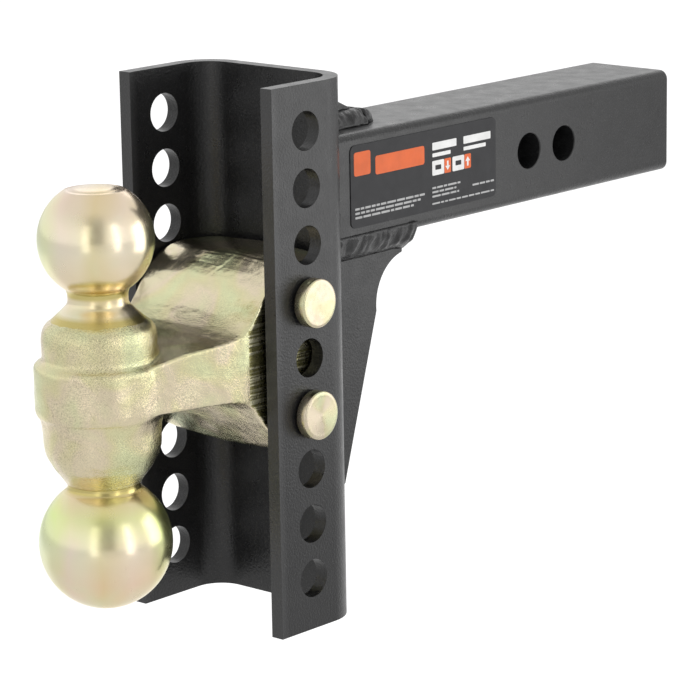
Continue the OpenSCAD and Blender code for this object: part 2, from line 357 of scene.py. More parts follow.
def powder_coat(name, tone=1.0, rough=0.31, peel=0.75):
    """Black powder coat: orange peel, fine grain, faint dusty variation, and a painted highlight on the faces
    at the flanges' front.
    """
    p = Paint(name, IOR=1.5)
    cloud = p.noise(26, 3.0, 0.6)
    grain = p.noise(0.55, 2.0, 0.7)
    base = p.ramp(cloud, (0.3, (0.0075 * tone, 0.0075 * tone, 0.008 * tone)),
                  (0.7, (0.0125 * tone, 0.0125 * tone, 0.013 * tone)))
    dust = p.ramp(grain, (0.56, 0.0), (0.74, 0.8))
    # Faces more than 20.2 mm forward of the hole line, which are the flanges' front edges, get a lighter
    # base. This is a painted highlight for the light those edges catch.
    front = p.ramp(p.maths("MULTIPLY", p.axis("Y"), -1.0), (0.2300, 0.0), (0.2308, 1.0))
    base = p.mix(front, base, (0.045, 0.045, 0.046))
    colour = p.mix(dust, base, (0.055 * tone, 0.055 * tone, 0.055 * tone))
    peel_normal = p.bump(p.noise(1.1, 1.5, 0.5), peel, 0.24)
    normal = p.bump(grain, 0.5, 0.05, peel_normal)
    roughness = p.ramp(p.noise(9, 3.0, 0.6), (0.3, rough - 0.05), (0.7, rough + 0.06))
    return p.set(Base_Color=colour, Roughness=roughness, Normal=normal).material


# Two tints of yellow zinc plating, and the span its bands cover, the lower ball's width in metres
GREEN, GOLD = (0.76, 0.80, 0.54), (0.62, 0.52, 0.20)
BAND_SPAN = 0.0588


def plated_colour(p, size):
    """The tints of yellow zinc plating: bands across the part and up it, broken by patches. The band across
    runs left to right as the camera sees it, and its darker edges and middle are painted reflection.
    """
    patches = p.noise(size, 2.0, 0.5, warp=0.6)
    right = p.maths("MULTIPLY", p.axis("X"), 0.756 / BAND_SPAN)
    back = p.maths("MULTIPLY", p.maths("SUBTRACT", p.axis("Y"), (BALL_Y - REACH) * MM), 0.655 / BAND_SPAN)
    across = p.maths("ADD", p.maths("ADD", right, back), p.maths("MULTIPLY", patches, 0.22))
    # The hue changes in this ramp are the plating's green and pink tints. Its darker stops, at both ends and
    # in the middle, are painted reflection of the dark surroundings on the balls.
    band = p.ramp(p.maths("ADD", across, 0.39), (0.04, (0.70, 0.79, 0.54)), (0.17, (0.80, 0.83, 0.58)),
                  (0.28, (0.87, 0.79, 0.70)), (0.40, (0.86, 0.80, 0.66)), (0.52, (0.82, 0.74, 0.50)),
                  (0.72, (0.88, 0.80, 0.68)), (0.84, (0.85, 0.78, 0.60)), (0.93, (0.68, 0.73, 0.40)))
    height = p.maths("MULTIPLY", p.maths("ADD", p.axis("Z"), 0.1681), 1 / 0.190)
    level = p.ramp(height, (0.0, (1.0, 0.96, 0.74)), (0.09, (1.0, 0.85, 0.76)), (0.17, (1.0, 0.96, 0.88)),
                   (0.24, (0.92, 1.0, 0.62)), (0.29, (1.0, 0.86, 0.66)), (0.42, (1.0, 0.98, 0.94)),
                   (0.66, (0.98, 1.0, 0.90)), (0.76, (1.0, 0.89, 0.70)), (0.86, (1.0, 0.98, 0.90)),
                   (0.976, (1.0, 0.90, 0.82)), (0.984, (0.86, 0.78, 0.71)))
    tint_with_painted_reflection = p.mix(1.0, band, level, "MULTIPLY")
    return p.mix(p.ramp(patches, (0.52, 0.0), (0.72, 0.4)), tint_with_painted_reflection, GREEN)


def plated_patches(p, size):
    """Broad, soft patches of the plating's tints."""
    return p.ramp(p.noise(size, 2.0, 0.5, warp=0.4), (0.34, (0.78, 0.80, 0.49)), (0.46, (0.82, 0.76, 0.47)),
                  (0.56, (0.86, 0.75, 0.55)), (0.66, (0.85, 0.78, 0.54)), (0.76, (0.79, 0.81, 0.50)))


def plated_turned(name):
    """Plated and turned: smooth, with the finest turning lines and gold at the necks."""
    p = Paint(name, Metallic=1.0, Anisotropic=0.3)
    lines = p.noise(0.28, 1.0, 0.5, p.stretched((0.06, 0.06, 1.0)))
    gold_ring = p.mix(p.near_heights((38.6, 2.4), (27.2, 3.0), (-47.4, 2.8)), plated_colour(p, 30), GOLD)
    roughness = p.ramp(p.noise(7, 3.0, 0.6), (0.3, 0.20), (0.7, 0.28))
    normal = p.bump(lines, 0.25, 0.02)
    normal = p.bump(p.noise(1.1, 3.0, 0.6), 0.10, 0.03, normal)
    return p.set(Base_Color=gold_ring, Roughness=roughness, Normal=normal).material


def plated_forging(name):
    """Plated rough forging: sparkling grain, scale marks, brushed patches, and the post and arm painted
    slightly darker as shade.
    """
    p = Paint(name, Metallic=1.0)
    grain = p.noise(0.55, 2.0, 0.75)
    flecks = p.cells(0.9)
    scale_marks = p.noise(4.5, 4.0, 0.6)
    rubbed = p.noise(1.5, 2.0, 0.6, p.stretched((0.07, 0.25, 1.0)))
    arm_side = p.ramp(p.maths("MULTIPLY", p.axis("Y"), -1.0), (0.232, 0.22), (0.243, 1.0))
    underneath = p.ramp(p.maths("MULTIPLY", p.axis("Z"), -1.0), (0.070, 0.0), (0.078, 1.0))
    rough_part = p.maths("ADD", arm_side, underneath, clamp=True)
    grainy = p.maths("MULTIPLY", rough_part, p.ramp(p.noise(17, 2.0, 0.5), (0.42, 1.0), (0.58, 0.45)))
    shade_in_grain = p.ramp(grain, (0.34, 0.62), (0.56, 1.0))
    # The post and arm are multiplied by (0.93, 0.92, 0.90). This is painted shade, a slight darkening
    # standing in for the darker reflections there.
    arm_shade_mask = p.ramp(arm_side, (0.3, 0.0), (1.0, 1.0))
    patches_with_painted_shade = p.mix(arm_shade_mask, plated_patches(p, 26), (0.93, 0.92, 0.90), "MULTIPLY")
    colour = p.mix(grainy, patches_with_painted_shade, shade_in_grain, "MULTIPLY")
    normal = p.bump(scale_marks, 0.5, 0.16)
    normal = p.bump(rubbed, p.maths("MULTIPLY", p.noise(16, 2.0, 0.5), 0.9), 0.09, normal)
    normal = p.bump(flecks, p.maths("MULTIPLY", grainy, 0.5), 0.16, normal)
    normal = p.bump(grain, p.maths("MULTIPLY", grainy, 0.8), 0.24, normal)
    # Fine parallel steps near the top of the block's slope
    high = p.ramp(p.maths("MULTIPLY", p.maths("ADD", p.axis("Z"), 0.0301), 100.0), (0.0, 0.0), (0.35, 1.0))
    beside = p.maths("ABSOLUTE", p.maths("SUBTRACT", p.axis("X"), 0.006))
    middle = p.ramp(p.maths("MULTIPLY", beside, 40.0), (0.50, 1.0), (0.80, 0.0))
    steps = p.maths("MULTIPLY", p.maths("PINGPONG", p.axis("Y"), 0.0012), 1 / 0.0012)
    normal = p.bump(steps, p.maths("MULTIPLY", p.maths("MULTIPLY", high, middle), 0.6), 0.10, normal)
    roughness = p.ramp(p.noise(4, 3.0, 0.6), (0.3, 0.17), (0.7, 0.26))
    return p.set(Base_Color=colour, Roughness=roughness, Normal=normal).material


def machined_side(name):
    """Plated milled face with diagonal cutter lines."""
    p = Paint(name, Metallic=1.0)
    turn = (math.radians(-42), 0, 0)
    cutter = p.noise(1.1, 1.0, 0.5, p.stretched((1.0, 0.03, 1.0), turn))
    colour = p.mix(p.ramp(cutter, (0.48, 0.0), (0.62, 1.0)), (0.30, 0.28, 0.12), (0.88, 0.84, 0.58))
    normal = p.bump(cutter, 0.9, 0.35)
    roughness = p.ramp(p.noise(2, 2.0, 0.6), (0.3, 0.24), (0.7, 0.36))
    return p.set(Base_Color=colour, Roughness=roughness, Normal=normal).material


def plated_pin(name):
    """Plated pin with rings from turning on its end face."""
    p = Paint(name, Metallic=1.0, Anisotropic=0.75)
    tangent = p.node("ShaderNodeTangent", direction_type="RADIAL", axis="X").outputs["Tangent"]
    colour = p.mix(1.0, plated_patches(p, 12), (0.74, 0.73, 0.76), "MULTIPLY")
    roughness = p.ramp(p.noise(3, 2.0, 0.6), (0.3, 0.24), (0.7, 0.34))
    normal = p.bump(p.noise(0.5, 2.0, 0.6), 0.25, 0.03)
    return p.set(Base_Color=colour, Roughness=roughness, Normal=normal,
                 Tangent=tangent).material


def spring_wire(name):
    p = Paint(name, Metallic=1.0)
    drawn = p.noise(0.3, 2.0, 0.6, p.stretched((1.0, 0.08, 1.0)))
    colour = p.ramp(p.noise(6, 2.0, 0.5), (0.3, (0.60, 0.60, 0.57)), (0.7, (0.72, 0.71, 0.66)))
    roughness = p.ramp(drawn, (0.3, 0.24), (0.7, 0.38))
    return p.set(Base_Color=colour, Roughness=roughness, Normal=p.bump(drawn, 0.2, 0.02)).material


def film(name, colour, rough=0.42, ior=1.4):
    """Printed label film: satin, very slightly uneven."""
    p = Paint(name, IOR=ior)
    low, high = (tuple(c * k for c in colour) for k in (0.92, 1.06))
    tone = p.ramp(p.noise(7, 2.0, 0.5), (0.3, low), (0.7, high))
    normal = p.bump(p.noise(2.4, 2.0, 0.5), 0.12, 0.04)
    roughness = p.ramp(p.noise(5, 2.0, 0.5), (0.3, rough - 0.04), (0.7, rough + 0.05))
    return p.set(Base_Color=tone, Roughness=roughness, Normal=normal).material


coat = powder_coat("black_powder_coat")
weld_coat = powder_coat("coated_weld", 1.05, 0.30, 0.8)
turned = plated_turned("plated_turned")
forging = plated_forging("plated_forging")
machined = machined_side("plated_milled_side")
pin_metal = plated_pin("plated_pin")
wire_metal = spring_wire("spring_wire")
label_dark = film("label_dark", (0.036, 0.036, 0.038), 0.5, 1.28)
print_white = film("print_white", (0.78, 0.78, 0.77))
print_orange = film("print_orange", (0.72, 0.125, 0.022))
print_grey = film("print_grey", (0.42, 0.42, 0.42))


# ---------------------------------------------------------------- steelwork

def channel():
    half_in, bend_y = HALF_WIDTH - WALL, WEB_BACK - BEND_OUT
    bend_x = HALF_WIDTH - BEND_OUT
    outer = arc(bend_x, bend_y, BEND_OUT, 0, 90, 14)
    inner = arc(bend_x, bend_y, BEND_IN, 90, 0, 12)
    right = [(HALF_WIDTH, FLANGE_FRONT)] + outer
    left = [(-x, y) for x, y in reversed(right)]
    inside_left = [(-half_in, FLANGE_FRONT)] + [(-x, y) for x, y in reversed(inner)]
    inside_right = inner + [(half_in, FLANGE_FRONT)]
    obj = extruded("channel_steel", right + left + inside_left + inside_right, along_z,
                   CHANNEL_LOW, CHANNEL_TOP)
    holes = []
    for k in range(HOLE_COUNT):
        z = (k - HOLE_COUNT // 2) * PITCH
        for lo, hi in ((-HALF_WIDTH - 1, -half_in + 1), (half_in - 1, HALF_WIDTH + 1)):
            holes.append(rod_x(0, z, HOLE_R, lo, hi))
    bevelled(cut(obj, *holes), 1.0, 3)
    return finished(obj, coat, "mount", "black_coat", "channel")


def shank():
    profile = round_rect(-HALF_SHANK, HALF_SHANK, SHANK_LOW, SHANK_TOP, SHANK_CORNER, 10)
    obj = extruded("shank_bar", profile, along_y, WEB_BACK, SHANK_END)
    holes = [rod_x(y, RISE, CROSS_HOLE_R, -HALF_SHANK - 1, HALF_SHANK + 1) for y in CROSS_HOLES]
    bevelled(cut(obj, *holes), 0.8)
    return finished(obj, coat, "mount", "black_coat", "shank")


def gusset_profile():
    """Side view (Y, Z) of a lower gusset with its concave corner."""
    top = HOLLOW_Z + math.sqrt(HOLLOW_R ** 2 - (HOLLOW_Y - GUSSET_END) ** 2)
    start = math.degrees(math.atan2(top - HOLLOW_Z, GUSSET_END - HOLLOW_Y))
    hollow = arc(HOLLOW_Y, HOLLOW_Z, HOLLOW_R, start, 186, 18)
    return ([(WEB_BACK, SHANK_LOW), (GUSSET_END, SHANK_LOW)] + hollow
            + [(WEB_BACK + GUSSET_FOOT, GUSSET_LOW), (WEB_BACK, GUSSET_LOW)])


def lower_gusset(name, side):
    lo, hi = sorted((side * GUSSET_IN, side * GUSSET_OUT))
    obj = extruded(name + "_plate", gusset_profile(), along_x, lo, hi)
    bevelled(obj, 0.7)
    return finished(obj, coat, "mount", "black_coat", name)


def top_gusset():
    profile = [(WEB_BACK, SHANK_TOP), (TOP_GUSSET_END, SHANK_TOP), (TOP_GUSSET_END, SHANK_TOP + 5),
               (WEB_BACK + 5, SHANK_TOP + 25), (WEB_BACK, SHANK_TOP + 25)]
    obj = bevelled(extruded("top_gusset_plate", profile, along_x, -TOP_GUSSET_HALF, TOP_GUSSET_HALF), 0.7)
    return finished(obj, coat, "mount", "black_coat", "top_gusset")


def bead(name, path, leg_a, leg_b, seed, crown=0.16, ripple=0.32, period=3.1, corner=None):
    """A rippled weld bead in a corner.

    path(s) gives the corner point at arc length s in mm, leg_a and leg_b are vectors along the
    two walls, and crown is how far the face bulges as a share of the leg length.
    """
    length, point = path
    steps, across = max(6, int(length / 0.7)), 10
    verts, faces = [], []
    for i in range(steps + 1):
        s = length * i / steps
        end = min(s, length - s)
        taper = 1.0 if end > 3.5 else 0.35 + 0.65 * math.sin(end / 3.5 * math.pi / 2)
        origin = Vector(point(s))
        wander = noise.noise(Vector((s / 9.0, seed, 0.0)))
        swell = taper * (1 + 0.12 * wander)
        for j in range(across + 1):
            t = j / across
            bulge = math.sin(math.pi * t)
            phase = TAU * (s / period - 0.30 * bulge) + 4.0 * wander
            wave = 0.3 * ripple * (0.5 + 0.5 * math.cos(phase)) * bulge ** 0.5
            lump = 1.1 * noise.noise(Vector((s / 3.9, t * 2.2, seed + 7.3)))
            lump += 0.5 * noise.noise(Vector((s / 1.8, t * 4.5, seed + 2.1)))
            flat = leg_a * (1 - t) + leg_b * t
            out = (leg_a + leg_b).normalized()
            size = (leg_a.length + leg_b.length) / 2
            lift = out * (crown * size * bulge + (wave + lump) * min(1.0, bulge * 2) * taper)
            verts.append(origin + flat * swell + lift)
        verts.append(origin + (corner or Vector((0, 0, 0))))
    ring = across + 2
    for i in range(steps):
        for j in range(ring):
            a, b = i * ring + j, i * ring + (j + 1) % ring
            faces.append((a, b, b + ring, a + ring))
    faces += [tuple(range(ring)), tuple(range(steps * ring, (steps + 1) * ring))]
    return new_object(name, verts, faces)


def line(start, end):
    """A straight bead path: its length and the point at arc length s."""
    start, end = Vector(start), Vector(end)
    length = (end - start).length
    return length, lambda s: start + (end - start) * (s / length)


def joined(name, objects):
    """One object of several meshes."""
    bm = bmesh.new()
    for o in objects:
        bm.from_mesh(o.data)
        bpy.data.objects.remove(o)
    mesh = bpy.data.meshes.new(name)
    bm.to_mesh(mesh)
    bm.free()
    obj = bpy.data.objects.new(name, mesh)
    bpy.context.scene.collection.objects.link(obj)
    return obj


def welds():
    x, y, z = Vector((1, 0, 0)), Vector((0, 1, 0)), Vector((0, 0, 1))
    inset = HALF_SHANK - SHANK_CORNER
    beads = []
    for side in (1, -1):
        beads.append(bead("b", line((side * HALF_SHANK, WEB_BACK, RISE - inset - 3),
                                    (side * HALF_SHANK, WEB_BACK, RISE + inset + 2)),
                          x * side * 8, y * 8, 1.0 + side))
        beads.append(bead("b", line((side * 6, WEB_BACK, SHANK_TOP),
                                    (side * (inset + 3), WEB_BACK, SHANK_TOP)),
                          z * 8, y * 8, 3.0 + side))
    finished(shade(joined("shank_weld_beads", beads), 180), weld_coat, "mount", "coated_weld",
             "shank_welds")

    for side, word in ((1, "right"), (-1, "left")):
        under = [
            bead("b", line((side * GUSSET_OUT, WEB_BACK + 4, SHANK_LOW),
                           (side * GUSSET_OUT, GUSSET_END + 4, SHANK_LOW)),
                 z * -9.0, x * side * 8.7 + z * 4.2, 11.0 + side, 0.20, 0.55, 4.0),
            bead("b", line((side * (GUSSET_OUT + 3), GUSSET_END, SHANK_LOW),
                           (side * (GUSSET_IN - 1), GUSSET_END, SHANK_LOW)),
                 z * -8.5, y * 8.5, 15.0 + side, 0.18, 0.6, 3.4),
        ]
        finished(shade(joined(word + "_gusset_bead", under), 180), weld_coat, "mount", "coated_weld",
                 word + "_gusset_weld")
        web = bead(word + "_web_bead", line((side * GUSSET_OUT, WEB_BACK, SHANK_LOW - 9),
                                            (side * GUSSET_OUT, WEB_BACK, GUSSET_LOW + 3)),
                   x * side * 6.5, y * 6.5, 21.0 + side)
        finished(shade(web, 180), weld_coat, "mount", "coated_weld", word + "_web_weld")

    half, end = TOP_GUSSET_HALF, TOP_GUSSET_END
    top = [bead("b", line((side * half, WEB_BACK + 2, SHANK_TOP), (side * half, end + 1, SHANK_TOP)),
                x * side * 8, z * 7.5, 31.0 + side, 0.16, 0.5, 3.6) for side in (1, -1)]
    top.append(bead("b", line((-half - 5, end, SHANK_TOP), (half + 5, end, SHANK_TOP)),
                    y * 8, z * 6.8, 36.0, 0.2, 0.6, 3.4))
    finished(shade(joined("top_gusset_bead", top), 180), weld_coat, "mount", "coated_weld",
             "top_gusset_weld")


# ---------------------------------------------------------------- ball head

def ball_arc(radius, centre, start, end, steps):
    """(radius, height) points down a ball, start and end in degrees from the top."""
    return [(radius * math.sin(math.radians(start + (end - start) * i / steps)),
             centre + radius * math.cos(math.radians(start + (end - start) * i / steps)))
            for i in range(steps + 1)]


def upper_ball():
    flat = math.degrees(math.asin(CROWN_R / UPPER_R))
    neck = 180 - math.degrees(math.asin((UPPER_NECK_R + 0.7) / UPPER_R))
    crown_z = UPPER_Z + UPPER_R * math.cos(math.radians(flat))
    profile = [(0, crown_z), (CROWN_R - 7, crown_z - 0.06), (CROWN_R - 5, crown_z - 0.16),
               (CROWN_R - 3.4, crown_z - 0.30), (CROWN_R - 2, crown_z - 0.48),
               (CROWN_R - 0.8, crown_z - 0.78), (CROWN_R + 0.5, crown_z - 1.22)]
    profile += ball_arc(UPPER_R, UPPER_Z, flat + 5.0, neck, 48)
    profile += [(UPPER_NECK_R + 0.15, 38.4), (UPPER_NECK_R, 37.4), (UPPER_NECK_R, 34.8), (13.5, 33.6),
                (14.2, 32.6), (15.2, 31.6), (16.2, 30.6), (18.2, 28.7), (20.2, 26.8), (21.2, 25.9),
                (20.0, 25.0), (0, 25.0)]
    obj = shade(revolved("upper_ball", profile, on_ball_axis, 128), 40)
    return finished(obj, turned, "mount", "zinc_forging", "ball_head")


def lower_ball():
    base = 180 - math.degrees(math.asin(BASE_R / LOWER_R))
    neck = math.degrees(math.asin((LOWER_NECK_R + 0.6) / LOWER_R))
    base_z = LOWER_Z + LOWER_R * math.cos(math.radians(base))
    start = TURNED_LOW_TOP
    profile = [(0, start + 3), (14.0, start + 3), (LOWER_NECK_R, start + 1.2), (LOWER_NECK_R, start - 1.6),
               (LOWER_NECK_R + 0.15, start - 2.6)]
    profile += ball_arc(LOWER_R, LOWER_Z, neck, base - 0.8, 52)
    profile += [(BASE_R - 0.3, base_z + 0.02), (0, base_z)]
    obj = shade(revolved("lower_ball", profile, on_ball_axis, 128), 40)
    return finished(obj, turned, "mount", "zinc_forging", "ball_head")


# The forged post between the balls, (radius, height)
POST = [(0, 27.6), (17.0, 27.6), (20.4, 26.6), (22.6, 25.0), (24.2, 23.0), (25.0, 20.4), (25.2, 17.5),
        (25.0, 11.0), (25.4, 9.2), (26.8, 8.2), (28.3, 7.4), (28.9, 5.8), (28.9, -6), (28.8, -12.4),
        (28.3, -14.6), (27.0, -16.0), (26.4, -18.6), (26.0, -21.5), (25.5, -29.5), (24.6, -33.0),
        (21.6, -38.6), (17.0, -44.8), (16.2, -46.6), (0, -46.6)]

# The arm and block from front to back: Y, half width, side edge above, side edge below
BODY = [(-84, 27.6, 7.6, -13.0), (-75, 29.4, 9.0, -13.4), (-62, 32.0, 11.2, -13.8),
        (-50, 34.4, 12.0, -14.0), (-42, 36.0, 12.7, -14.3), (-36, 36.9, 13.6, -15.0),
        (-33, 37.4, 14.4, -15.8), (-30.6, 37.7, 15.8, -16.8), (-27.6, 37.7, 18.6, -19.3),
        (-24.3, 37.7, 22.8, -23.6), (-20.9, 37.7, 27.6, -27.8), (-17, 37.7, 32.2, -31.8),
        (-13, 37.7, 35.8, -36.0), (-9, 37.7, 38.4, -39.8), (-5, 37.7, 40.2, -41.9),
        (-1, 37.7, 41.4, -42.0), (4, 37.7, 42.0, -42.0), (16, 37.7, 42.0, -42.0),
        (21, 32.7, 42.0, -42.0)]
ARM_CROWN, BLOCK_CROWN = 1.5, 2.5
VOXEL, SOFTENING = 0.7, 3
MACHINED_FRONT = -29.8               # Y where the block's milled sides start


def body_section(y, half, top, foot, count=12):
    """Points round one section: over the crowned top from right to left, back under the sole."""
    share = min(1.0, max(0.0, (y + 50) / 45))
    crown = ARM_CROWN + (BLOCK_CROWN - ARM_CROWN) * share
    xs = [half * (1 - 2 * k / count) for k in range(count + 1)]
    bulge = [crown * ((half / BLOCK_HALF) ** 2 - (x / BLOCK_HALF) ** 2) for x in xs]
    fillet = [2.2 * (1 - (x / BLOCK_HALF) ** 2) * math.exp(-((y + 31.5) / 4.8) ** 2) for x in xs]
    over = [(x, y, top + b + f) for x, b, f in zip(xs, bulge, fillet)]
    under = [(x, y, foot - b) for x, b in zip(xs, bulge)]
    return over + under[::-1]


def arm_and_block():
    rings = [body_section(*row) for row in BODY]
    n = len(rings[0])
    verts = [p for ring in rings for p in ring]
    faces = [(n * i + j, n * i + (j + 1) % n, n * i + n + (j + 1) % n, n * i + n + j)
             for i in range(len(rings) - 1) for j in range(n)]
    faces += [tuple(range(n)), tuple(range(len(verts) - n, len(verts)))]
    bores = [rod_x(0, s * BORE_Z, BORE_R, -BLOCK_HALF - 2, BLOCK_HALF + 2) for s in (1, -1)]
    return cut(new_object("arm_and_block", verts, faces), *bores)


def forged_body():
    """Post, arm and block fused into one skin, then softened and hammered like a forging."""
    parts = [revolved("post", POST, on_ball_axis, 96), arm_and_block()]
    obj = joined("forged_body", parts)
    remesh = obj.modifiers.new("fuse", "REMESH")
    remesh.mode, remesh.voxel_size, remesh.adaptivity = "VOXEL", VOXEL * MM, 0.0
    applied(obj)
    soften(obj)
    obj = shade(obj, 180)
    finished(obj, forging, "mount", "zinc_forging", "ball_head")
    obj.data.materials.append(machined)
    for face in obj.data.polygons:
        if abs(face.center.x) > (BLOCK_HALF - 0.25) * MM and face.center.y > (MACHINED_FRONT - REACH) * MM:
            face.material_index = 1
    return obj


# The raised patch on the block's slope: its height, and its torn edge as Y and X
PATCH_HEIGHT = 0.16
TORN_EDGE = [(-30, -11), (-27, -8), (-24, 0), (-21, 4), (-16, 3), (-12, 6), (-7, 8), (8, 6)]


def raised_patch(x, y, z):
    """Height of the raised patch on the slope, 0 away from it."""
    if z < 14 or not TORN_EDGE[0][0] < y < TORN_EDGE[-1][0]:
        return 0.0
    for (y0, x0), (y1, x1) in zip(TORN_EDGE, TORN_EDGE[1:]):
        if y <= y1:
            edge = x0 + (x1 - x0) * (y - y0) / (y1 - y0)
            edge += 1.6 * noise.noise(Vector((y / 2.6, 4.0, 0.0)))
            return PATCH_HEIGHT * min(1.0, max(0.0, edge - x))
    return 0.0


def soften(obj):
    """Rounds the forged edges, leaves the machined sides and bores crisp, adds hammering."""
    bm = bmesh.new()
    bm.from_mesh(obj.data)
    rest = [v.co.copy() for v in bm.verts]
    keep = []
    for v in bm.verts:
        x, y, z = (v.co.x / MM, v.co.y / MM + REACH, v.co.z / MM + RISE)
        in_bore = min(math.hypot(y, z - BORE_Z), math.hypot(y, z + BORE_Z)) < BORE_R + 2.0
        side = abs(x) > BLOCK_HALF - 1.2 and y > -30.5
        keep.append(1.0 if in_bore else (0.6 if side else 0.0))
    for _ in range(SOFTENING):
        bmesh.ops.smooth_vert(bm, verts=bm.verts, factor=0.5,
                              use_axis_x=True, use_axis_y=True, use_axis_z=True)
    bm.normal_update()
    for v, start, k in zip(bm.verts, rest, keep):
        co = v.co.lerp(start, k)
        patch = raised_patch(co.x / MM, co.y / MM + REACH, co.z / MM + RISE)
        p = co / MM
        hammer = 0.20 * noise.noise(p / 11.0) + 0.09 * noise.noise(p / 4.2 + Vector((5, 1, 3)))
        hammer += 0.05 * noise.noise(p / 1.9 + Vector((2, 8, 6)))
        v.co = co + v.normal * (hammer + patch) * (1 - k) * MM
    limit = BLOCK_HALF * MM
    for v in bm.verts:
        v.co.x = max(-limit, min(limit, v.co.x))
    bm.to_mesh(obj.data)
    bm.free()


# ---------------------------------------------------------------- pins, clips and label

def pin(name, z):
    # Shallow turned rings on the head, 0.8 mm apart
    profile = [(0, HEAD_OUT)] + [(0.8 * (k + 1), HEAD_OUT - 0.04 * (k % 2)) for k in range(11)]
    profile += [(9.6, HEAD_OUT), (10.3, HEAD_OUT - 0.06), (10.75, HEAD_OUT - 0.3),
                (HEAD_R, HEAD_OUT - 0.75), (HEAD_R, HEAD_IN + 0.4), (HEAD_R - 0.3, HEAD_IN + 0.05),
                (HEAD_R - 0.7, HEAD_IN), (PIN_R + 0.5, HEAD_IN), (PIN_R, HEAD_IN - 0.4),
                (PIN_R, PIN_TIP + 1.7), (PIN_R - 0.25, PIN_TIP + 1.2), (PIN_R - 1.35, PIN_TIP + 0.1),
                (PIN_R - 1.8, PIN_TIP), (0, PIN_TIP)]
    obj = revolved(name + "_turned", profile, lambda u, v, h: (h, u, z + v), 96)
    hole = rod(lambda u, v, h: (CLIP_X + u, h, z + v), CLIP_HOLE_R, -12, 12, 32)
    shade(cut(obj, hole), 35)
    return finished(obj, pin_metal, name + "_body", "zinc_pin", name)


def clip(name, z):
    loop_r = LEG_LIFT / 2
    points = [(CLIP_X, CLIP_TIP - 1.5 * k, z) for k in range(int((CLIP_TIP + LOOP_OUT) / 1.5) + 1)]
    points += [(CLIP_X, y, z + w) for y, w in arc(-LOOP_OUT, loop_r, loop_r, 270, 90, 18)]
    points += [(CLIP_X, y, z + LEG_LIFT) for y in range(int(-LOOP_OUT) + 2, 8, 2)]
    points += [(CLIP_X, y, z + w) for y, w in arc(8, LEG_LIFT + 6, 6, -90, -35, 8)]
    obj = tube(name + "_wire", points, WIRE_R)
    return finished(obj, wire_metal, name + "_body", "spring_wire", name)


def print_block(name, y0, y1, z0, z1, material, corner=0.4):
    face = LABEL_X + LABEL_T
    obj = extruded(name, round_rect(y0, y1, z0, z1, corner, 3), along_x, face - 0.1, face + 0.05)
    return finished(shade(obj, 30), material, "mount", "label_film")


def print_shape(name, points, material):
    face = LABEL_X + LABEL_T
    obj = extruded(name, points, along_x, face - 0.1, face + 0.09)
    return finished(obj, material, "mount", "label_film")


def arrow(name, y, z, way, material):
    """A plain arrow, 3.4 mm wide and 4.4 mm tall; way is +1 for up and -1 for down."""
    shape = [(-0.55, -2.2), (0.55, -2.2), (0.55, 0.1), (1.7, 0.1), (0, 2.2), (-1.7, 0.1), (-0.55, 0.1)]
    return print_shape(name, [(y + u, z + way * v) for u, v in shape], material)


def label():
    obj = extruded("label_sheet", round_rect(*LABEL_Y, *LABEL_Z, LABEL_CORNER), along_x,
                   LABEL_X - 0.2, LABEL_X + LABEL_T)
    bevelled(obj, 0.12, 2)
    finished(obj, label_dark, "mount", "label_film", "label")
    face = LABEL_X + LABEL_T
    print_block("print_bar_1", 54.6, 66.0, 71.0, 82.0, print_orange, 1.2)
    print_block("print_bar_2", 69.4, 104.0, 69.9, 78.6, print_orange, 1.2)
    for k, (y0, y1, z0, z1) in enumerate(((109.8, 127.3, 75.4, 79.0), (109.8, 123.0, 72.2, 74.0),
                                          (132.5, 152.6, 75.4, 79.0), (132.5, 149.0, 72.2, 74.0))):
        print_block(f"print_white_{k}", y0, y1, z0, z1, print_white)
    for k, (y, way) in enumerate(((109.6, -1), (124.3, 1))):
        print_block(f"print_panel_{k}", y, y + 8.6, 63.5, 70.4, print_white, 0.6)
        print_block(f"print_tab_{k}", y + 8.8, y + 13.6, 63.5, 70.4, print_orange, 0.6)
        arrow(f"print_arrow_{k}", y + 11.2, 66.95, way, print_white)
        print_shape(f"print_dash_{k}", round_rect(y + 2.2, y + 6.4, 66.0, 68.2, 0.3, 2), label_dark)
    rows = ((55, 104, 55.3, 1.0), (55, 101, 53.3, 1.0), (55, 96, 51.3, 1.0),
            (109.5, 130, 57.2, 0.9), (109.5, 127, 55.2, 0.9), (109.5, 129, 53.2, 0.9),
            (139, 155, 54.5, 0.9), (109.4, 155, 49.8, 0.8))
    chance = random.Random(4)
    for k, (y0, y1, z, h) in enumerate(rows):
        dashes, y = [], y0
        while y < y1 - 1.0:
            end = min(y1, y + chance.uniform(2.0, 6.5))
            shape = round_rect(y, end, z, z + h, 0.2, 2)
            dashes.append(extruded("dash", shape, along_x, face - 0.1, face + 0.05))
            y = end + 0.7
        finished(shade(joined(f"print_line_{k}", dashes), 30), print_grey, "mount", "label_film")


# ---------------------------------------------------------------- camera, floor and light

def camera():
    data = bpy.data.cameras.new("camera")
    data.lens, data.sensor_width = LENS, 36.0
    data.shift_x, data.shift_y = SHIFT_X, SHIFT_Y
    data.clip_start, data.clip_end = 0.05, 60.0
    obj = bpy.data.objects.new("camera", data)
    axes = Matrix((EYE_RIGHT, EYE_UP, TO_EYE)).transposed()
    obj.matrix_world = Matrix.Translation(EYE) @ axes.to_4x4()
    bpy.context.scene.collection.objects.link(obj)
    bpy.context.scene.camera = obj


